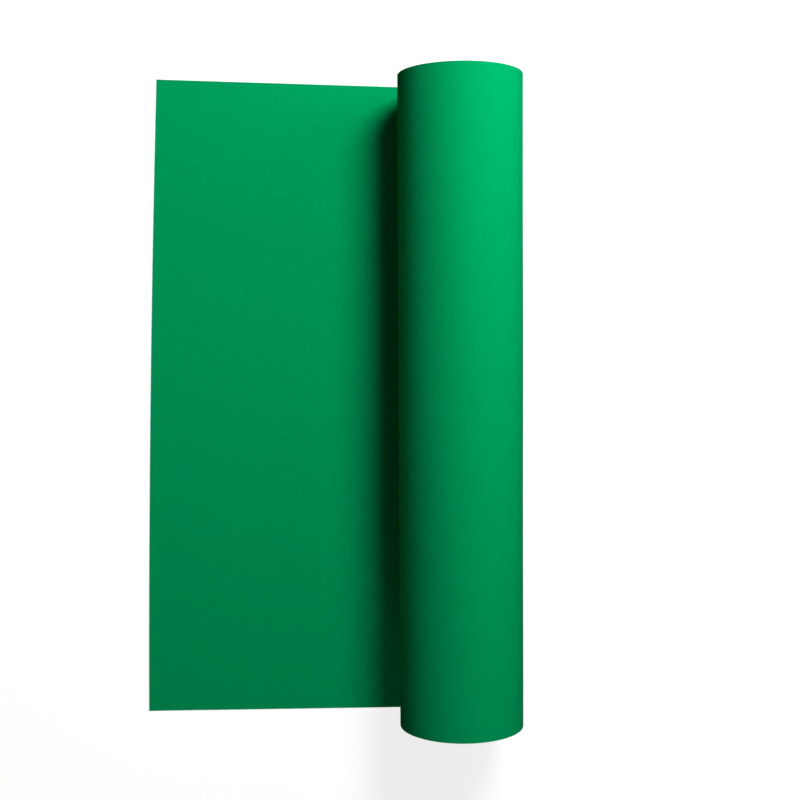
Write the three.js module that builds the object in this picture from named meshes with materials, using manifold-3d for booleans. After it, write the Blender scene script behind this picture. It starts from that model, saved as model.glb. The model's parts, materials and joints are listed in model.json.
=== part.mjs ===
// A tabletop backdrop paper roll: matt green paper wound on a cardboard core, with its leader unrolled.
// Millimetres, +Z up. The roll lies on its side along Y and the leader lies flat towards -X. The origin is
// the middle of the bottom of the whole object's box.
import * as THREE from 'three';
import { mergeVertices } from 'three/addons/utils/BufferGeometryUtils.js';
import Module from 'manifold-3d';

// ---- driving dimensions -------------------------------------------------------------------------------
const SHEET_WIDTH = 500;          // across the sheet, which is the roll's length
const ROLL_RADIUS = 48;           // outside of the outermost turn
const PAPER = 0.25;               // thickness of the sheet
const GAP = 0.3;                  // clearance between two pieces that touch on the real object

const LEADER_REACH = 239;         // roll's axis to the free edge, on the middle of the sheet
const LEADER_SKEW = 0.0162;       // the leader is pulled out about one degree off square
const CUT_SKEW = 0.024;           // slope of the free edge, which is cut a little off square too

const BORE_RADIUS = 25.4;         // standard two-inch core
const LINER_WALL = 0.6;
const CORE_BODY_WALL = 2.7;
const OUTER_PLY_WALL = 0.6;
const CORE_RECESS = 0.5;          // the core stops this far short of the sheet's edges

const TAPE = 0.2;                 // thickness of the tail tape
const TAPE_WIDTH = 24;            // along the core
const TAPE_ARC = 1.3;             // radians around the core
const TAPE_SPREAD = 205;          // middle piece to each outer piece

const FLANGE_RADIUS = 33;
const FLANGE = 2;                 // thickness of the plug's flange
const PLUG_DEPTH = 30;            // how far the plug reaches into the core
const PLUG_WALL = 1.6;
const PLUG_TAPER = 1.2;           // the plug's inner end is this much smaller in radius
const PLUG_CHAMFER = 1;           // round the plug's inner end
const LIP_CHAMFER = 0.8;          // round the mouth of the plug's cup
const FLANGE_CHAMFER = 0.7;
const PLUG_RIBS = 8;
const RIB_HEIGHT = 0.6;
const RIB_WIDTH = 1.6;
const RIB_LENGTH = 24;
const RIB_ROOT = 0.5;             // how far a rib's end runs into the flange
const VENT_RADIUS = 3;            // air hole in the plug's closed end

const TURN_STEPS = 96;            // facets round the paper and the core
const TAPE_STEPS = 16;
const PLUG_STEPS = 64;

// ---- sizes that follow --------------------------------------------------------------------------------
const TURN_PITCH = PAPER + GAP;                           // the outer turn winds in by this much
const COIL_RADIUS = ROLL_RADIUS - TURN_PITCH - PAPER - GAP;
const LINER_RADIUS = BORE_RADIUS + LINER_WALL;
const BODY_INNER = LINER_RADIUS + GAP;
const BODY_RADIUS = BODY_INNER + CORE_BODY_WALL;
const PLY_INNER = BODY_RADIUS + GAP;
const PLY_RADIUS = PLY_INNER + OUTER_PLY_WALL;
const TAPE_INNER = PLY_RADIUS + GAP;
const COIL_INNER = TAPE_INNER + TAPE + GAP;
const CORE_LENGTH = SHEET_WIDTH - 2 * CORE_RECESS;
const RIB_RADIUS = BORE_RADIUS - GAP;
const SPIGOT_RADIUS = RIB_RADIUS - RIB_HEIGHT;
const CUP_RADIUS = SPIGOT_RADIUS - PLUG_WALL;

// ---- materials ----------------------------------------------------------------------------------------
const material = (color, roughness) => new THREE.MeshStandardMaterial({ color, roughness, metalness: 0 });
const paper = material(0x00985a, 0.85);
const kraft = material(0xa98560, 0.9);
const kraftLight = material(0xbb9a74, 0.85);
const tapeTan = material(0xd2b98c, 0.6);
const plastic = material(0x1b1c1e, 0.45);

// ---- solids -------------------------------------------------------------------------------------------
const wasm = await Module();
wasm.setup();

function toSolid(geometry) {
  const bare = geometry.clone();
  bare.deleteAttribute('normal');
  bare.deleteAttribute('uv');
  const merged = mergeVertices(bare, 1e-4);
  return new wasm.Manifold(new wasm.Mesh({
    numProp: 3,
    vertProperties: new Float32Array(merged.attributes.position.array),
    triVerts: new Uint32Array(merged.index.array),
  }));
}

function toGeometry(solid) {
  const mesh = solid.getMesh();
  const geometry = new THREE.BufferGeometry();
  geometry.setAttribute('position', new THREE.BufferAttribute(new Float32Array(mesh.vertProperties), 3));
  geometry.setIndex(new THREE.BufferAttribute(new Uint32Array(mesh.triVerts), 1));
  geometry.computeVertexNormals();
  return geometry;
}

const roll = new THREE.Group();   // the roll's own frame: its axis is Y, and the table is ROLL_RADIUS below

function addPiece(name, geometry, mat, y = 0) {
  const mesh = new THREE.Mesh(geometry, mat);
  mesh.name = name;
  mesh.position.y = y;
  roll.add(mesh);
  return mesh;
}

// A tube along Y from its radii and length, centred on y = 0.
function tube(inner, outer, length) {
  const half = length / 2;
  const profile = [[inner, -half], [outer, -half], [outer, half], [inner, half], [inner, -half]];
  return new THREE.LatheGeometry(profile.map(([r, y]) => new THREE.Vector2(r, y)), TURN_STEPS);
}

// A strip that follows an arc round the Y axis, extruded along Y and centred on y = 0. Angles start at
// +X and turn towards +Z; the outside radius goes from startRadius to endRadius.
function arcStrip({ from, to, startRadius, endRadius, thickness, length, steps }) {
  const outside = [];
  const inside = [];
  for (let i = 0; i <= steps; i += 1) {
    const t = i / steps;
    const angle = from + (to - from) * t;
    const radius = startRadius + (endRadius - startRadius) * t;
    const along = new THREE.Vector2(Math.cos(angle), Math.sin(angle));
    outside.push(along.clone().multiplyScalar(radius));
    inside.push(along.clone().multiplyScalar(radius - thickness));
  }
  const outline = new THREE.Shape([...outside, ...inside.reverse()]);
  const geometry = new THREE.ExtrudeGeometry(outline, { depth: length, bevelEnabled: false });
  return geometry.translate(0, 0, -length / 2).rotateX(Math.PI / 2);
}

// ---- the sheet ----------------------------------------------------------------------------------------

// The leader: a flat strip pulled out askew, which stops just short of the line where the outer turn meets
// the table.
function leaderSheet() {
  const half = SHEET_WIDTH / 2;
  const corner = (side) => {
    const x = side * half * CUT_SKEW - LEADER_REACH;
    return new THREE.Vector2(x, side * half - x * LEADER_SKEW);
  };
  const outline = new THREE.Shape([
    new THREE.Vector2(-GAP, -half),
    new THREE.Vector2(-GAP, half),
    corner(1),
    corner(-1),
  ]);
  const geometry = new THREE.ExtrudeGeometry(outline, { depth: PAPER, bevelEnabled: false });
  return geometry.translate(0, 0, -ROLL_RADIUS);
}

// The outer turn: one winding of the spiral, which starts on the table under the axis, climbs the +X side
// and ends above its own start, one pitch further in.
function outerTurn() {
  return arcStrip({
    from: -Math.PI / 2,
    to: Math.PI * 1.5,
    startRadius: ROLL_RADIUS,
    endRadius: ROLL_RADIUS - TURN_PITCH,
    thickness: PAPER,
    length: SHEET_WIDTH,
    steps: TURN_STEPS,
  });
}

addPiece('leader_sheet', leaderSheet(), paper);
addPiece('outer_turn', outerTurn(), paper);
addPiece('wound_paper', tube(COIL_INNER, COIL_RADIUS, SHEET_WIDTH), paper);

// ---- the core -----------------------------------------------------------------------------------------
addPiece('core_inner_liner', tube(BORE_RADIUS, LINER_RADIUS, CORE_LENGTH), kraftLight);
addPiece('core_body', tube(BODY_INNER, BODY_RADIUS, CORE_LENGTH), kraft);
addPiece('core_outer_ply', tube(PLY_INNER, PLY_RADIUS, CORE_LENGTH), kraftLight);

// ---- the tape that holds the sheet's tail to the core ---------------------------------------------------
function tailTape() {
  return arcStrip({
    from: Math.PI / 2 - TAPE_ARC / 2,
    to: Math.PI / 2 + TAPE_ARC / 2,
    startRadius: TAPE_INNER + TAPE,
    endRadius: TAPE_INNER + TAPE,
    thickness: TAPE,
    length: TAPE_WIDTH,
    steps: TAPE_STEPS,
  });
}

[['front', -1], ['middle', 0], ['back', 1]].forEach(([place, side]) => {
  addPiece(`tail_tape_${place}`, tailTape(), tapeTan, side * TAPE_SPREAD);
});

// ---- the end plugs --------------------------------------------------------------------------------------

// A plug: a flanged cup, open outwards, with crush ribs along its spigot. Its axis is Y, its flange's inner
// face is at y = 0 and its spigot points to -Y.
function endPlug() {
  const profile = [
    [VENT_RADIUS, -PLUG_DEPTH],
    [SPIGOT_RADIUS - PLUG_TAPER - PLUG_CHAMFER, -PLUG_DEPTH],
    [SPIGOT_RADIUS - PLUG_TAPER, -PLUG_DEPTH + PLUG_CHAMFER],
    [SPIGOT_RADIUS, 0],
    [FLANGE_RADIUS, 0],
    [FLANGE_RADIUS, FLANGE - FLANGE_CHAMFER],
    [FLANGE_RADIUS - FLANGE_CHAMFER, FLANGE],
    [CUP_RADIUS + LIP_CHAMFER, FLANGE],
    [CUP_RADIUS, FLANGE - LIP_CHAMFER],
    [CUP_RADIUS - PLUG_TAPER, -PLUG_DEPTH + PLUG_WALL],
    [VENT_RADIUS, -PLUG_DEPTH + PLUG_WALL],
    [VENT_RADIUS, -PLUG_DEPTH],
  ];
  const cup = new THREE.LatheGeometry(profile.map(([r, y]) => new THREE.Vector2(r, y)), PLUG_STEPS);
  let solid = toSolid(cup);
  const ribInner = CUP_RADIUS + GAP;       // inside the wall along the whole rib
  for (let i = 0; i < PLUG_RIBS; i += 1) {
    const rib = new THREE.BoxGeometry(RIB_RADIUS - ribInner, RIB_LENGTH + RIB_ROOT, RIB_WIDTH);
    rib.translate((RIB_RADIUS + ribInner) / 2, (RIB_ROOT - RIB_LENGTH) / 2, 0);
    rib.rotateY((i * 2 * Math.PI) / PLUG_RIBS);
    solid = solid.add(toSolid(rib));
  }
  return toGeometry(solid);
}

const flangeSeat = SHEET_WIDTH / 2 + GAP;
addPiece('end_plug_back', endPlug(), plastic, flangeSeat);
addPiece('end_plug_front', endPlug(), plastic, -flangeSeat).rotation.z = Math.PI;

// ---- placing the roll in the object's frame -------------------------------------------------------------
const extent = new THREE.Box3().setFromObject(roll);
roll.position.set(-(extent.min.x + extent.max.x) / 2, -(extent.min.y + extent.max.y) / 2, ROLL_RADIUS);

const object = new THREE.Group();
object.add(roll);

export default object;
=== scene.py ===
import json
import math

import bmesh
import bpy
import numpy as np
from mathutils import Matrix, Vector


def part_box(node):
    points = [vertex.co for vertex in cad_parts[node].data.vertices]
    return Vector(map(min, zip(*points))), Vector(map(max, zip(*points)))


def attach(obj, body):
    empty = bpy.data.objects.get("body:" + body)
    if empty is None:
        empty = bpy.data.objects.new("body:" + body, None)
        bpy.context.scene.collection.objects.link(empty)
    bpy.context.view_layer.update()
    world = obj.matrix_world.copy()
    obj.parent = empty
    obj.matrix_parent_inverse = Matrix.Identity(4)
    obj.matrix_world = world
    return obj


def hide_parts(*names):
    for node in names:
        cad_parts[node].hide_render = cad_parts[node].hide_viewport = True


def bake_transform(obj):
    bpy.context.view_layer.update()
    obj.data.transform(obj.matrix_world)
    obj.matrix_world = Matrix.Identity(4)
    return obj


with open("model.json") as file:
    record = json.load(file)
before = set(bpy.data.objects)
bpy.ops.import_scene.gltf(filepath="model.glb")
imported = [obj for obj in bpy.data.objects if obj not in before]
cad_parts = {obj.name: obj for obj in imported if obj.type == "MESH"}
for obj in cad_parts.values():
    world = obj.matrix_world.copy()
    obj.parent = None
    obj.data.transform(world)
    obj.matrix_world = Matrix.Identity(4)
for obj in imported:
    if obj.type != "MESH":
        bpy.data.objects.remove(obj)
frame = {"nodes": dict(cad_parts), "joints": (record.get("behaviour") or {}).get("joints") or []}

MM = 0.001
TAU = math.tau

# ---- sizes from the frame -------------------------------------------------------------------------------
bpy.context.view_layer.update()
joints = {j["name"]: j for j in frame["joints"]}
axis_x, _, axis_z = joints["roll_turn"]["pos_m"]      # the roll's axis is parallel to Y
leader_low, leader_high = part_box("leader_sheet")
turn_low, turn_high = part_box("outer_turn")

PAPER = leader_high.z - leader_low.z                  # thickness of the sheet
ROLL_RADIUS = axis_z                                  # the roll rests on z = 0
MIDDLE_Y = (turn_low.y + turn_high.y) / 2
HALF_WIDTH = (turn_high.y - turn_low.y) / 2
BOTTOM = -TAU / 4                                     # the roll's lowest line, as an angle from +X to +Z


def outer_radius(cad_node):
    """The outer radius of a CAD node that is round about the roll's axis."""
    low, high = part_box(cad_node)
    return (high.z - low.z) / 2


def bore_radius():
    """The core's bore, measured on the liner's own vertices."""
    liner = frame["nodes"]["core_inner_liner"].data.vertices
    return min(math.hypot(v.co.x - axis_x, v.co.z - axis_z) for v in liner)


# ---- meshes -----------------------------------------------------------------------------------------------
def mesh_piece(name, points, faces, sharp_degrees=40):
    """A smooth-shaded mesh object from points and faces, with its normals made to point outwards."""
    mesh = bpy.data.meshes.new(name)
    mesh.from_pydata([tuple(p) for p in points], [], faces)
    shape = bmesh.new()
    shape.from_mesh(mesh)
    bmesh.ops.recalc_face_normals(shape, faces=shape.faces)
    shape.to_mesh(mesh)
    shape.free()
    mesh.shade_smooth()
    mesh.set_sharp_from_angle(angle=math.radians(sharp_degrees))
    piece = bpy.data.objects.new(name, mesh)
    bpy.context.scene.collection.objects.link(piece)
    return piece


def grid_faces(index):
    """The quads of a grid of point numbers."""
    a, b, c, d = index[:-1, :-1], index[1:, :-1], index[1:, 1:], index[:-1, 1:]
    return np.stack([a, b, c, d], axis=-1).reshape(-1, 4).tolist()


def around(angle, radius, y):
    """Points at an angle and radius about the roll's axis."""
    return np.stack([axis_x + radius * np.cos(angle), y, axis_z + radius * np.sin(angle)], axis=-1)


def thick_sheet(outer, inner):
    """Points and faces of a closed sheet between two grids of points with the same shape."""
    rows, columns = outer.shape[:2]
    top = np.arange(rows * columns).reshape(rows, columns)
    under = top + rows * columns
    rim = np.concatenate([top[0, :-1], top[:-1, -1], top[-1, :0:-1], top[:0:-1, 0]])
    rim_under = rim + rows * columns
    faces = grid_faces(top) + grid_faces(under[:, ::-1])
    faces += np.stack([rim, rim_under, np.roll(rim_under, -1), np.roll(rim, -1)], axis=-1).tolist()
    return np.concatenate([outer.reshape(-1, 3), inner.reshape(-1, 3)]), faces


def lathe(name, profile, segments, swell=None):
    """A closed ring about the roll's axis. The profile is a loop of (radius, y); swell adds to a radius."""
    radius, y = np.array(profile).T[:, :, None]
    radius, y, angle = np.broadcast_arrays(radius, y, np.arange(segments) * TAU / segments)
    if swell:
        radius = radius + swell(radius, y, angle)
    points = around(angle, radius, y).reshape(-1, 3)
    index = np.arange(len(points)).reshape(len(profile), segments)
    index = np.concatenate([index, index[:1]])
    index = np.concatenate([index, index[:, :1]], axis=1)
    return mesh_piece(name, points, grid_faces(index))


def rounded(corners, steps=4):
    """A loop of (radius, y) with its corners rounded. Each corner is (radius, y, rounding)."""
    loop = []
    for i, (radius, y, rounding) in enumerate(corners):
        here = Vector((radius, y))
        before = Vector(corners[i - 1][:2]) - here
        after = Vector(corners[(i + 1) % len(corners)][:2]) - here
        reach = min(rounding, before.length / 2.05, after.length / 2.05)
        start, end = here + before.normalized() * reach, here + after.normalized() * reach
        for k in range(steps + 1):
            t = k / steps
            loop.append(tuple(start * (1 - t) ** 2 + here * 2 * t * (1 - t) + end * t * t))
    return loop


def divided(loop, longest):
    """The same loop with its long stretches divided into steps no longer than that."""
    points = []
    for (r0, y0), (r1, y1) in zip(loop, loop[1:] + loop[:1]):
        parts = max(1, math.ceil(math.hypot(r1 - r0, y1 - y0) / longest))
        points += [(r0 + (r1 - r0) * k / parts, y0 + (y1 - y0) * k / parts) for k in range(parts)]
    return points


def smooth_noise(seed, knots, span):
    """A smooth random curve from 0 to span with that many knots, as a function with values from -1 to 1."""
    values = np.random.default_rng(seed).uniform(-1, 1, knots + 4)

    def curve(x):
        place = np.clip(np.asarray(x) / span, 0, 1) * knots + 1
        k = np.minimum(place.astype(int), knots + 1)
        t = place - k
        t = t * t * (3 - 2 * t)
        return values[k] * (1 - t) + values[k + 1] * t

    return curve


# ---- the sheet --------------------------------------------------------------------------------------------
LEADER_ROWS = 150             # points across the sheet
LEADER_COLUMNS = 121          # points from the free edge to the roll
LEADER_CROWDING = 0.85        # below 1, the columns stand closer together near the roll
TIP_SEARCH = 100 * MM         # the free edge's corners are at least this far from the axis
CURL = 0.35 * MM              # how far the free edge lifts
CURL_REACH = 14 * MM          # from the free edge
EDGE_BOW = 1.7 * MM           # the free edge is bowed outwards by this much at its middle
COCKLE = 0.048 * MM           # height of the sheet's faint waves
CALM_REACH = 60 * MM          # the waves die out over this length before the roll
WAVES = (                     # radians a metre along X and Y, start in radians, share of the height
    (31, 9, 0, 1.0),
    (-12, 43, 1, 0.6),
)
WAVE_REST = 2                 # they rise and fall about this many heights, so they stay above the table


def leader_tips():
    """The two corners of the free edge, front and back, as the CAD has them."""
    cad = frame["nodes"]["leader_sheet"].data.vertices
    tips = [v.co for v in cad if v.co.x < axis_x - TIP_SEARCH and v.co.z < PAPER / 2]
    tips.sort(key=lambda corner: corner.y)
    return tips[0], tips[-1]


def leader_height(x, y, from_tip):
    """How far the leader's underside is above the table: the lift of its free edge and its faint waves."""
    curl = CURL * np.clip(1 - from_tip / CURL_REACH, 0, 1) ** 2
    wave = WAVE_REST + sum(high * np.sin(x * kx + y * ky + start) for kx, ky, start, high in WAVES)
    calm = np.clip((axis_x - x) / CALM_REACH, 0, 1) ** 2
    return curl + COCKLE * wave * calm


def leader_piece():
    """The unrolled end of the sheet, from its free edge to the line where the roll stands on it."""
    front_tip, back_tip = leader_tips()
    across = np.linspace(-1, 1, LEADER_ROWS)[:, None]
    along = np.linspace(0, 1, LEADER_COLUMNS)[None, :] ** LEADER_CROWDING
    tip_x = front_tip.x + (back_tip.x - front_tip.x) * (across + 1) / 2 - EDGE_BOW * (1 - across**2)
    tip_y = front_tip.y + (back_tip.y - front_tip.y) * (across + 1) / 2
    x = tip_x + (axis_x - tip_x) * along
    y = tip_y + (MIDDLE_Y + across * HALF_WIDTH - tip_y) * along
    length = axis_x - tip_x
    under = np.stack([x, y, leader_height(x, y, length * along)], axis=-1)
    over = under + np.array([0, 0, PAPER])
    piece = mesh_piece("leader_paper", *thick_sheet(over, under))
    return piece


TURN_ROWS = 61                # points along the outer turn's axis
TURN_COLUMNS = 257            # points around it
SLACK = 0.10 * MM             # the outer turn lies up to four times this much inside its spiral


def outer_turn_piece():
    """The outermost turn: it starts under the axis, climbs the +X side and ends on top of its own start."""
    rows = np.linspace(-HALF_WIDTH, HALF_WIDTH, TURN_ROWS)
    share, y = np.meshgrid(np.linspace(0, 1, TURN_COLUMNS), rows)
    angle = BOTTOM + share * TAU
    free = np.sin(share * TAU / 2) ** 2
    slack = SLACK * free * (np.sin(y * 17 + 3 * angle) + np.sin(y * 29 - 2 * angle + 1) - 2)
    outside = ROLL_RADIUS - PAPER * share + slack
    outer = around(angle, outside, y + MIDDLE_Y)
    inner = around(angle, outside - PAPER, y + MIDDLE_Y)
    return mesh_piece("outer_turn_paper", *thick_sheet(outer, inner))


COIL_TURNS = 67
TURNING_GAP = 0.3 * MM                                # under the outer turn, so that the coil can turn
COIL_OUTSIDE = ROLL_RADIUS - 2 * PAPER - TURNING_GAP
COIL_COLUMNS = 128                                    # points around one turn
EDGE_STATIONS = (0.0, 0.16, 0.84)                     # groove, and the two edges of one turn's thickness
GROOVE = 0.3 * MM                                     # depth between two turns at the roll's ends
TELESCOPE = 0.35 * MM                                 # how far turns stand in or out at the roll's ends
RIPPLE = 0.35                                         # the part that changes turn by turn, as a share


def telescoping(depth_in):
    """How far a turn stands out at the back end and in at the front, by how many turns deep it lies."""
    slow = smooth_noise(3, 9, COIL_TURNS + 1)
    quick = smooth_noise(4, 60, COIL_TURNS + 1)
    return TELESCOPE * (slow(depth_in) + RIPPLE * quick(depth_in))


def coil_piece():
    """The wound paper: one long spiral whose every turn stands as its own edge on the roll's two ends."""
    per_turn, columns = len(EDGE_STATIONS), COIL_COLUMNS
    last = COIL_TURNS * per_turn
    station = np.arange(last + 1)[:, None]
    column = np.arange(columns + 1)[None, :]
    depth_in = station // per_turn + np.array(EDGE_STATIONS)[station % per_turn] + column / columns
    angle = BOTTOM + column * TAU / columns
    radius = COIL_OUTSIDE - PAPER * depth_in
    groove = np.where(station % per_turn == 0, GROOVE, 0.0)
    shift = telescoping(depth_in)

    # The last column lies on the first, one turn further in, so only its innermost points are new.
    index = np.zeros((last + 1, columns + 1), int)
    index[:, :columns] = np.arange((last + 1) * columns).reshape(last + 1, columns)
    index[: last + 1 - per_turn, columns] = index[per_turn:, 0]
    index[last + 1 - per_turn:, columns] = (last + 1) * columns + np.arange(per_turn)
    count = (last + 1) * columns + per_turn

    ends = []
    for side in (-1, 1):
        y = MIDDLE_Y + side * (HALF_WIDTH - groove) + shift
        grid = around(angle, radius, y)
        points = np.zeros((count, 3))
        points[index[:, :columns].ravel()] = grid[:, :columns].reshape(-1, 3)
        points[index[last + 1 - per_turn:, columns]] = grid[last + 1 - per_turn:, columns]
        ends.append(points)

    # Walls join the two ends along the spiral's outside and inside, each closed by its radial step.
    outside = [*index[0, :columns + 1], *[index[k, 0] for k in range(per_turn - 1, 0, -1)]]
    inside = [*index[last, :columns + 1], *[index[last - k, columns] for k in range(1, per_turn)]]
    faces = grid_faces(index) + grid_faces(index[:, ::-1] + count)
    for chain in (outside, inside):
        for a, b in zip(chain, chain[1:] + chain[:1]):
            faces.append([int(a), int(b), int(b) + count, int(a) + count])
    return mesh_piece("wound_paper_coil", np.concatenate(ends), faces, sharp_degrees=30)


# ---- the core ---------------------------------------------------------------------------------------------
CORE_SEGMENTS = 160
PLY_DIP = 0.16 * MM           # depth between two plies on the core's sawn ends
PLY_LOWEST = -0.12 * MM       # how far a ply's edge stands out of the sawn end, at least
PLY_HIGHEST = 0.1 * MM        # and at most
PLY_EDGE = (0.2, 0.8)         # the edge's flat part, as shares of the ply's thickness
GLUE_LINE = 0.1 * MM          # from the CAD's core body to where the outer ply starts


def core_ring(name, cad_node, inner, outer, plies, seed):
    """One layer of the cardboard core: a tube whose sawn ends show its plies as fine ridges."""
    low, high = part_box(cad_node)
    half = (high.y - low.y) / 2
    random = np.random.default_rng(seed)
    ridge = []
    step = (outer - inner) / plies
    for k in range(plies):
        stand = random.uniform(PLY_LOWEST, PLY_HIGHEST)
        start = inner + k * step
        ridge.append((start, -PLY_DIP))
        ridge += [(start + share * step, stand) for share in PLY_EDGE]
    ridge.append((outer, -PLY_DIP))
    profile = [(r, MIDDLE_Y - half - y) for r, y in ridge]
    profile += [(r, MIDDLE_Y + half + y) for r, y in reversed(ridge)]
    return lathe(name, profile, CORE_SEGMENTS)


def core_pieces():
    """The liner, the body and the outer ply, which touch each other as the glued core's plies do."""
    bore = bore_radius()
    liner = outer_radius("core_inner_liner")
    body = outer_radius("core_body") + GLUE_LINE
    ply = outer_radius("core_outer_ply")
    return (
        core_ring("core_liner", "core_inner_liner", bore, liner, plies=1, seed=10),
        core_ring("core_board", "core_body", liner, body, plies=6, seed=10),
        core_ring("core_wrap", "core_outer_ply", body, ply, plies=1, seed=9),
    )


# ---- the end plugs ----------------------------------------------------------------------------------------
PLUG_SEGMENTS = 384
PLUG_STEP = 3 * MM            # longest step along the plug's outline
PLUG_RIBS = 8
PLUG_PLAY = 0.3 * MM          # from the bore to the ribs
RIB_HEIGHT = 0.6 * MM
RIB_END = 26 * MM             # from the flange's face to where the ribs have run out
RIB_RUN_OUT = 3 * MM
RIB_HALF_FOOT = 1.15 * MM     # half of a rib's width at its foot
RIB_FLANK = 0.5 * MM          # a rib's side slopes over this width
RIB_ROOT = 0.6 * MM           # a rib starts this far inside the flange and rises over the next millimetre
PLUG_WALL = 1.6 * MM
PLUG_TAPER = 1.2 * MM         # the spigot's inner end is this much smaller in radius
FLANGE = 2 * MM
VENT_RADIUS = 3 * MM
FACE_DIP = 0.25 * MM          # the flange's face has a shallow ring between two raised rims
BOSS_RADIUS = 9 * MM          # a raised ring lies round the vent
BOSS_HEIGHT = 0.5 * MM


def plug_outline(flange_radius, spigot, length):
    """The plug's outline as (radius, y, rounding), with y going from the flange's face into the core."""
    cup = spigot - PLUG_WALL
    floor = PLUG_WALL - length
    return [
        (VENT_RADIUS, -length, 0.2 * MM),                       # closed end
        (spigot - PLUG_TAPER, -length, 1.4 * MM),
        (spigot, -FLANGE, 0.5 * MM),                            # spigot's root
        (flange_radius - 0.1 * MM, -FLANGE, 0.25 * MM),         # flange's rim
        (flange_radius, -FLANGE * 0.5, 0.4 * MM),
        (flange_radius - 0.3 * MM, 0, 0.6 * MM),
        (flange_radius - 2.6 * MM, 0, 0.2 * MM),                # shallow ring in its face
        (flange_radius - 3.0 * MM, -FACE_DIP, 0.15 * MM),
        (cup + 2.4 * MM, -FACE_DIP, 0.15 * MM),
        (cup + 2.0 * MM, 0, 0.2 * MM),
        (cup, 0, 0.9 * MM),                                     # cup's mouth
        (cup - PLUG_TAPER, floor, 1.6 * MM),                    # cup's floor
        (BOSS_RADIUS, floor, 0.3 * MM),
        (BOSS_RADIUS - 0.4 * MM, floor + BOSS_HEIGHT, 0.2 * MM),
        (VENT_RADIUS + 1.5 * MM, floor + BOSS_HEIGHT, 0.4 * MM),
        (VENT_RADIUS, floor + 0.1 * MM, 0.3 * MM),
    ]


def plug_piece(name, cad_node, side):
    """A moulded cup with a flange and crush ribs. side is 1 for the back end and -1 for the front."""
    low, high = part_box(cad_node)
    face = high.y if side > 0 else low.y
    rib_radius = bore_radius() - PLUG_PLAY
    spigot = rib_radius - RIB_HEIGHT
    outline = rounded(plug_outline(outer_radius(cad_node), spigot, high.y - low.y))

    def ribs(radius, y, angle):
        """How far the spigot's outside swells into a rib, which runs out towards the plug's inner end."""
        depth = (face - y) * side
        on_outside = (radius > spigot - PLUG_TAPER - 0.35 * MM) & (radius < spigot + 0.05 * MM)
        root = np.clip((depth - FLANGE + RIB_ROOT) / MM, 0, 1)
        run_out = np.clip((RIB_END - depth) / RIB_RUN_OUT, 0, 1)
        turn = (angle * PLUG_RIBS / TAU + 0.5) % 1 - 0.5
        off = np.abs(turn) * TAU / PLUG_RIBS * rib_radius
        across = np.clip((RIB_HALF_FOOT - off) / RIB_FLANK, 0, 1)
        return np.where(on_outside, (rib_radius - radius) * root * run_out * across, 0)

    profile = [(radius, face + side * y) for radius, y in divided(outline, PLUG_STEP)]
    return lathe(name, profile, PLUG_SEGMENTS, swell=ribs)


# ---- material nodes ---------------------------------------------------------------------------------------
def node(tree, kind, inputs=None, **settings):
    """Adds a shader node. An input is a number, a colour or another node's output."""
    made = tree.nodes.new(kind)
    for key, value in settings.items():
        setattr(made, key, value)
    for key, value in (inputs or {}).items():
        if isinstance(value, bpy.types.NodeSocket):
            tree.links.new(value, made.inputs[key])
        else:
            made.inputs[key].default_value = value
    return made


def noise(tree, vector, scale, detail=4, roughness=0.55):
    """Noise with about that many features in a metre."""
    inputs = {"Vector": vector, "Scale": scale, "Detail": detail, "Roughness": roughness}
    return node(tree, "ShaderNodeTexNoise", inputs).outputs[0]


def stretched(tree, vector, scale):
    """Coordinates scaled differently along X, Y and Z."""
    return node(tree, "ShaderNodeMapping", {"Vector": vector, "Scale": scale}).outputs[0]


def remap(tree, value, from_low, from_high, to_low=0.0, to_high=1.0):
    """A value mapped from one range to another and kept inside it."""
    inputs = {0: value, 1: from_low, 2: from_high, 3: to_low, 4: to_high}
    return node(tree, "ShaderNodeMapRange", inputs).outputs[0]


def mix(tree, factor, a, b):
    """Colour a where the factor is 0 and colour b where it is 1."""
    return node(tree, "ShaderNodeMix", {0: factor, 6: a, 7: b}, data_type="RGBA").outputs[2]


def maths(tree, operation, a, b=0.0):
    return node(tree, "ShaderNodeMath", {0: a, 1: b}, operation=operation).outputs[0]


def bump(tree, height, strength, distance, under=None):
    """A normal bumped by a height, on top of another normal if one is given."""
    inputs = {"Height": height, "Strength": strength, "Distance": distance}
    if under is not None:
        inputs["Normal"] = under
    return node(tree, "ShaderNodeBump", inputs).outputs[0]


def ring_noise(tree, distance, scale):
    """Noise that changes only with the distance from the axis."""
    inputs = {"W": distance, "Scale": scale, "Detail": 3, "Roughness": 0.6}
    return node(tree, "ShaderNodeTexNoise", inputs, noise_dimensions="1D").outputs[0]


def from_axis(tree, place):
    """The distance from the roll's axis, and the turn around it as a share of a full turn."""
    apart = node(tree, "ShaderNodeSeparateXYZ", {0: place})
    right = maths(tree, "SUBTRACT", apart.outputs[0], axis_x)
    up = maths(tree, "SUBTRACT", apart.outputs[2], axis_z)
    squares = maths(tree, "ADD", maths(tree, "MULTIPLY", right, right), maths(tree, "MULTIPLY", up, up))
    turn = maths(tree, "DIVIDE", maths(tree, "ARCTAN2", up, right), TAU)
    return maths(tree, "SQRT", squares), turn


def material(name):
    """A new material with a Principled shader: (material, its node tree, the shader, object coordinates)."""
    made = bpy.data.materials.new(name)
    made.use_nodes = True
    tree = made.node_tree
    shader = tree.nodes["Principled BSDF"]
    place = node(tree, "ShaderNodeTexCoord").outputs["Object"]
    return made, tree, shader, place


def rgba(r, g, b):
    return (r, g, b, 1.0)


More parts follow.
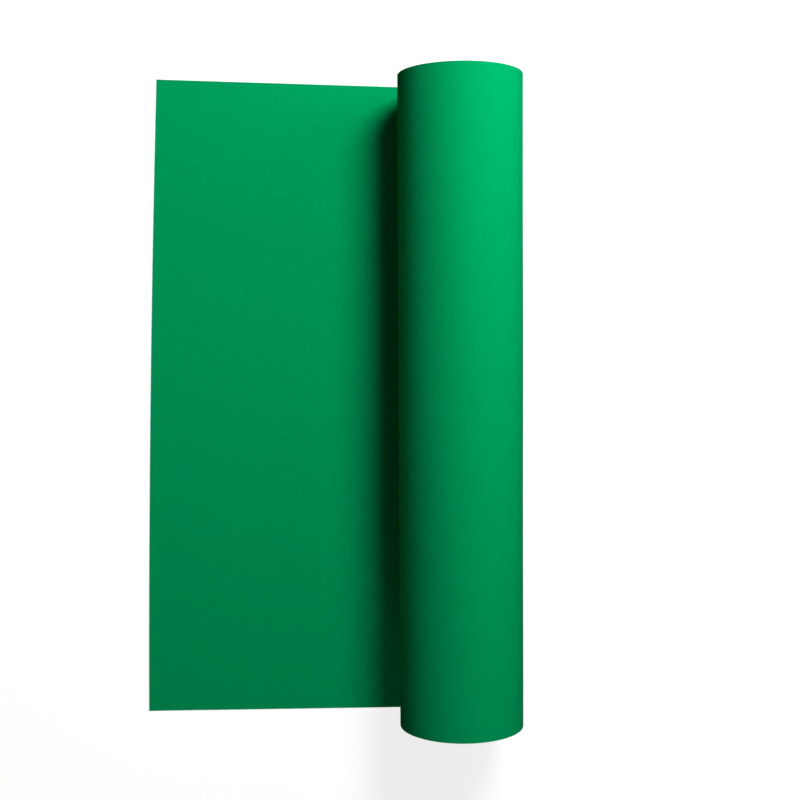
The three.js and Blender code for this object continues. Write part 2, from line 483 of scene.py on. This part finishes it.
# ---- materials --------------------------------------------------------------------------------------------
PAPER_LIGHT = rgba(0.0, 0.308, 0.098)
PAPER_DEEP = rgba(0.0, 0.294, 0.091)
PAPER_FIBRE = rgba(0.0, 0.340, 0.110)
PAPER_GAP_SHADE = rgba(0.0, 0.210, 0.062)                   # painted shade between two turns, on the roll's ends
BODY_LIGHT = rgba(0.44, 0.27, 0.14)                   # the core's body
BODY_DARK = rgba(0.30, 0.17, 0.08)
PLY_LIGHT = rgba(0.54, 0.36, 0.20)                    # its surface plies
PLY_DARK = rgba(0.40, 0.25, 0.13)
FLECK = rgba(0.13, 0.075, 0.035)
SEAM = rgba(0.16, 0.10, 0.055)
PLASTIC_LIGHT = rgba(0.017, 0.018, 0.020)
PLASTIC_DARK = rgba(0.010, 0.011, 0.012)
PLASTIC_SCUFF = rgba(0.06, 0.062, 0.065)
TAPE_LIGHT = rgba(0.70, 0.54, 0.31)
TAPE_DARK = rgba(0.56, 0.41, 0.21)
FLOOR_LIGHT = rgba(0.355, 0.355, 0.35)
FLOOR_DARK = rgba(0.345, 0.345, 0.34)
WHITE = rgba(1.0, 1.0, 1.0)
FLOOR_GLOW = 0.80
SEAM_PITCH = 95 * MM                                  # a surface ply's seam advances this much in a turn
SEAM_HALF_WIDTH = 0.012                               # as a share of the pitch


def paper_material(name):
    """Uncoated dyed paper: a faint cloudy formation, short fibres, a fine tooth and no gloss."""
    made, tree, shader, place = material(name)
    clouds = remap(tree, noise(tree, place, 90), 0.3, 0.7)
    fibres = remap(tree, noise(tree, stretched(tree, place, (1000, 2600, 1000)), 1, 5, 0.7), 0.3, 0.7)
    tooth = noise(tree, place, 3200, 3, 0.6)
    body = mix(tree, clouds, PAPER_DEEP, PAPER_LIGHT)
    colour = mix(tree, maths(tree, "MULTIPLY", fibres, 0.45), body, PAPER_FIBRE)
    tree.links.new(colour, shader.inputs["Base Color"])
    tree.links.new(remap(tree, fibres, 0, 1, 0.80, 0.92), shader.inputs["Roughness"])
    coarse = bump(tree, fibres, 0.28, 0.4 * MM)
    tree.links.new(bump(tree, tooth, 0.40, 0.2 * MM, coarse), shader.inputs["Normal"])
    shader.inputs["Specular IOR Level"].default_value = 0.0
    return made


def cut_edge_material(name):
    """The roll's wound ends: the cut edges of the turns, with painted shade darkening the gaps between them,
    and bands of lighter and darker tone.
    """
    made, tree, shader, place = material(name)
    out = from_axis(tree, place)[0]
    # Painted shade: one darker ring at each turn, standing in for the shade in the gap between two turns.
    turns = remap(tree, ring_noise(tree, out, 1 / PAPER), 0.35, 0.65)
    bands = remap(tree, ring_noise(tree, out, 600), 0.3, 0.7)
    fray = remap(tree, noise(tree, place, 2500, 3, 0.65), 0.3, 0.7)
    body = mix(tree, bands, PAPER_DEEP, PAPER_FIBRE)
    # Mixes the painted shade between turns into the edge colour.
    colour = mix(tree, maths(tree, "MULTIPLY", turns, 0.45), body, PAPER_GAP_SHADE)
    colour = mix(tree, maths(tree, "MULTIPLY", fray, 0.25), colour, PAPER_FIBRE)
    tree.links.new(colour, shader.inputs["Base Color"])
    tree.links.new(remap(tree, fray, 0, 1, 0.82, 0.95), shader.inputs["Roughness"])
    tree.links.new(bump(tree, fray, 0.3, 0.3 * MM), shader.inputs["Normal"])
    shader.inputs["Specular IOR Level"].default_value = 0.0
    return made


def helical_seam(tree, place):
    """1 on the line where two turns of a surface ply butt together, falling to 0 beside it."""
    along = node(tree, "ShaderNodeSeparateXYZ", {0: place}).outputs[1]
    travel = maths(tree, "ADD", maths(tree, "DIVIDE", along, SEAM_PITCH), from_axis(tree, place)[1])
    off = maths(tree, "ABSOLUTE", maths(tree, "SUBTRACT", maths(tree, "FRACT", travel), 0.5))
    return remap(tree, off, 0.0, SEAM_HALF_WIDTH, 1, 0)


def board_material(name, light, dark, seam=False):
    """Raw kraft board: long fibres, dark flecks and, on a surface ply, its helical butt seam."""
    made, tree, shader, place = material(name)
    fibres = remap(tree, noise(tree, stretched(tree, place, (1500, 260, 1500)), 1, 6, 0.65), 0.3, 0.7)
    flecks = remap(tree, noise(tree, place, 1400, 2), 0.62, 0.72)
    colour = mix(tree, fibres, dark, light)
    colour = mix(tree, maths(tree, "MULTIPLY", flecks, 0.5), colour, FLECK)
    height = fibres
    if seam:
        line = helical_seam(tree, place)
        colour = mix(tree, maths(tree, "MULTIPLY", line, 0.75), colour, SEAM)
        height = maths(tree, "SUBTRACT", fibres, maths(tree, "MULTIPLY", line, 2.0))
    tree.links.new(colour, shader.inputs["Base Color"])
    tree.links.new(remap(tree, fibres, 0, 1, 0.82, 0.95), shader.inputs["Roughness"])
    tree.links.new(bump(tree, height, 0.35, 0.3 * MM), shader.inputs["Normal"])
    shader.inputs["Specular IOR Level"].default_value = 0.3
    return made


def plastic_material(name):
    """Moulded black plastic: fine spark grain, faint flow marks and scuffs."""
    made, tree, shader, place = material(name)
    grain = noise(tree, place, 2600, 2, 0.5)
    flow = remap(tree, noise(tree, place, 130, 3), 0.3, 0.7)
    scuff = remap(tree, noise(tree, stretched(tree, place, (700, 90, 700)), 1, 4, 0.7), 0.6, 0.75)
    colour = mix(tree, flow, PLASTIC_DARK, PLASTIC_LIGHT)
    colour = mix(tree, maths(tree, "MULTIPLY", scuff, 0.35), colour, PLASTIC_SCUFF)
    tree.links.new(colour, shader.inputs["Base Color"])
    tree.links.new(remap(tree, flow, 0, 1, 0.38, 0.52), shader.inputs["Roughness"])
    tree.links.new(bump(tree, grain, 0.18, 0.2 * MM), shader.inputs["Normal"])
    return made


def tape_material(name):
    """Creped paper tape: fine cross ridges and a satin backing."""
    made, tree, shader, place = material(name)
    crepe = remap(tree, noise(tree, stretched(tree, place, (400, 2600, 400)), 1, 3), 0.3, 0.7)
    colour = mix(tree, crepe, TAPE_DARK, TAPE_LIGHT)
    tree.links.new(colour, shader.inputs["Base Color"])
    tree.links.new(remap(tree, crepe, 0, 1, 0.5, 0.68), shader.inputs["Roughness"])
    tree.links.new(bump(tree, crepe, 0.4, 0.2 * MM), shader.inputs["Normal"])
    return made


def floor_material(name):
    """Plain near-white studio floor: matt, with a glow that keeps it pale where no light falls."""
    made, tree, shader, place = material(name)
    dust = remap(tree, noise(tree, place, 4, 3), 0.3, 0.7)
    tree.links.new(mix(tree, dust, FLOOR_DARK, FLOOR_LIGHT), shader.inputs["Base Color"])
    shader.inputs["Roughness"].default_value = 0.9
    shader.inputs["Specular IOR Level"].default_value = 0.0
    shader.inputs["Emission Color"].default_value = WHITE
    shader.inputs["Emission Strength"].default_value = FLOOR_GLOW
    return made


def dress(piece, *looks):
    """Gives a piece its materials, in the order of their slots."""
    piece.data.materials.clear()
    for look in looks:
        piece.data.materials.append(look)


# ---- camera -----------------------------------------------------------------------------------------------
CAMERA_PLACE = Vector((axis_x - 0.1316, MIDDLE_Y + 0.0403, 0.9759))
CAMERA_TURN = (-0.04037, -0.09087, -0.00840)          # radians about X, Y and Z
CAMERA_LENS = 54.74                                   # millimetres on the sensor
CAMERA_SENSOR = 36                                    # millimetres across

camera_data = bpy.data.cameras.new("camera")
camera_data.lens = CAMERA_LENS
camera_data.sensor_width = CAMERA_SENSOR
camera_data.clip_start = 10 * MM
camera = bpy.data.objects.new("camera", camera_data)
camera.rotation_mode = "ZYX"
camera.rotation_euler = CAMERA_TURN
camera.location = CAMERA_PLACE
bpy.context.scene.collection.objects.link(camera)
bpy.context.scene.camera = camera


# ---- pieces -----------------------------------------------------------------------------------------------
CUT_FACE = 0.35               # a face whose normal leans this much along Y is a cut edge of the paper

green = paper_material("green_paper")
cut_edge = cut_edge_material("green_paper_cut_edge")
dark_board = board_material("core_board", BODY_LIGHT, BODY_DARK)
light_board = board_material("core_ply", PLY_LIGHT, PLY_DARK, seam=True)
tape = tape_material("paper_tape")
black = plastic_material("plug_plastic")

leader = leader_piece()
dress(leader, green)
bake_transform(leader)
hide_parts("leader_sheet")

outer_turn = outer_turn_piece()
dress(outer_turn, green)
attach(outer_turn, "outer_wrap")
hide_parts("outer_turn")

coil = coil_piece()
dress(coil, green, cut_edge)
for face in coil.data.polygons:
    face.material_index = int(abs(face.normal.y) > CUT_FACE)
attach(coil, "coil")
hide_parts("wound_paper")

liner, board, wrap = core_pieces()
for piece, cad_node, look, slot in (
    (liner, "core_inner_liner", light_board, "core_ply"),
    (board, "core_body", dark_board, "core_board"),
    (wrap, "core_outer_ply", light_board, "core_ply"),
):
    dress(piece, look)
    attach(piece, "coil")
    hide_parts(cad_node)

for end, side in (("front", -1), ("back", 1)):
    plug = plug_piece(f"{end}_plug_moulding", f"end_plug_{end}", side)
    dress(plug, black)
    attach(plug, f"plug_{end}")
    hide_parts(f"end_plug_{end}")

for place in ("front", "middle", "back"):
    dress(frame["nodes"][f"tail_tape_{place}"], tape)


# ---- floor and light --------------------------------------------------------------------------------------
FLOOR_LEVEL = -0.05 * MM      # just under the sheet
FLOOR_RINGS = (0.8, 2.5)      # radii of the flat part
FLOOR_BEND = 1.5              # radius of the sweep from floor to wall
FLOOR_BEND_STEPS = 16
WALL_TOP = 3.0
FLOOR_SEGMENTS = 128
WORLD_LIGHT = 0.04


def add_floor():
    """A plain pale floor just under the sheet, which sweeps up into a wall all round, far away."""
    flat = FLOOR_RINGS[-1]
    profile = [(radius, FLOOR_LEVEL) for radius in FLOOR_RINGS]
    for k in range(1, FLOOR_BEND_STEPS + 1):
        turn = k / FLOOR_BEND_STEPS * TAU / 4
        profile.append((flat + FLOOR_BEND * math.sin(turn), FLOOR_LEVEL + FLOOR_BEND * (1 - math.cos(turn))))
    profile.append((flat + FLOOR_BEND, WALL_TOP))
    points, faces = [(0.0, 0.0, FLOOR_LEVEL)], []
    for ring, (radius, z) in enumerate(profile):
        for k in range(FLOOR_SEGMENTS):
            angle = k * TAU / FLOOR_SEGMENTS
            here = 1 + ring * FLOOR_SEGMENTS + k
            after = 1 + ring * FLOOR_SEGMENTS + (k + 1) % FLOOR_SEGMENTS
            points.append((radius * math.cos(angle), radius * math.sin(angle), z))
            if ring:
                faces.append([here - FLOOR_SEGMENTS, after - FLOOR_SEGMENTS, after, here])
            else:
                faces.append([0, here, after])
    floor = mesh_piece("floor", points, faces)
    dress(floor, floor_material("floor"))
    floor.visible_diffuse = False


def add_light(name, place, size, power):
    """A soft round light that shines on the object's middle. The camera doesn't see the lamp itself."""
    data = bpy.data.lights.new(name, "AREA")
    data.shape = "DISK"
    data.size = size
    data.energy = power
    lamp = bpy.data.objects.new(name, data)
    lamp.location = place
    lamp.rotation_mode = "QUATERNION"
    lamp.rotation_quaternion = (-Vector(place)).to_track_quat("-Z", "Y")
    lamp.visible_camera = False
    bpy.context.scene.collection.objects.link(lamp)


add_floor()
add_light("key_light", (0.386, 0.783, 0.848), size=0.47, power=16.1)
add_light("side_light", (0.430, 0.353, 0.235), size=0.25, power=0.75)
add_light("fill_light", (-0.7, -0.9, 0.9), size=1.0, power=0.7)
add_light("front_light", (0.3, -2.2, 0.42), size=0.6, power=10.0)

world = bpy.data.worlds.new("studio")
world.use_nodes = True
background = world.node_tree.nodes["Background"].inputs
background["Color"].default_value = WHITE
background["Strength"].default_value = WORLD_LIGHT
bpy.context.scene.world = world
bpy.context.scene.view_settings.view_transform = "Standard"
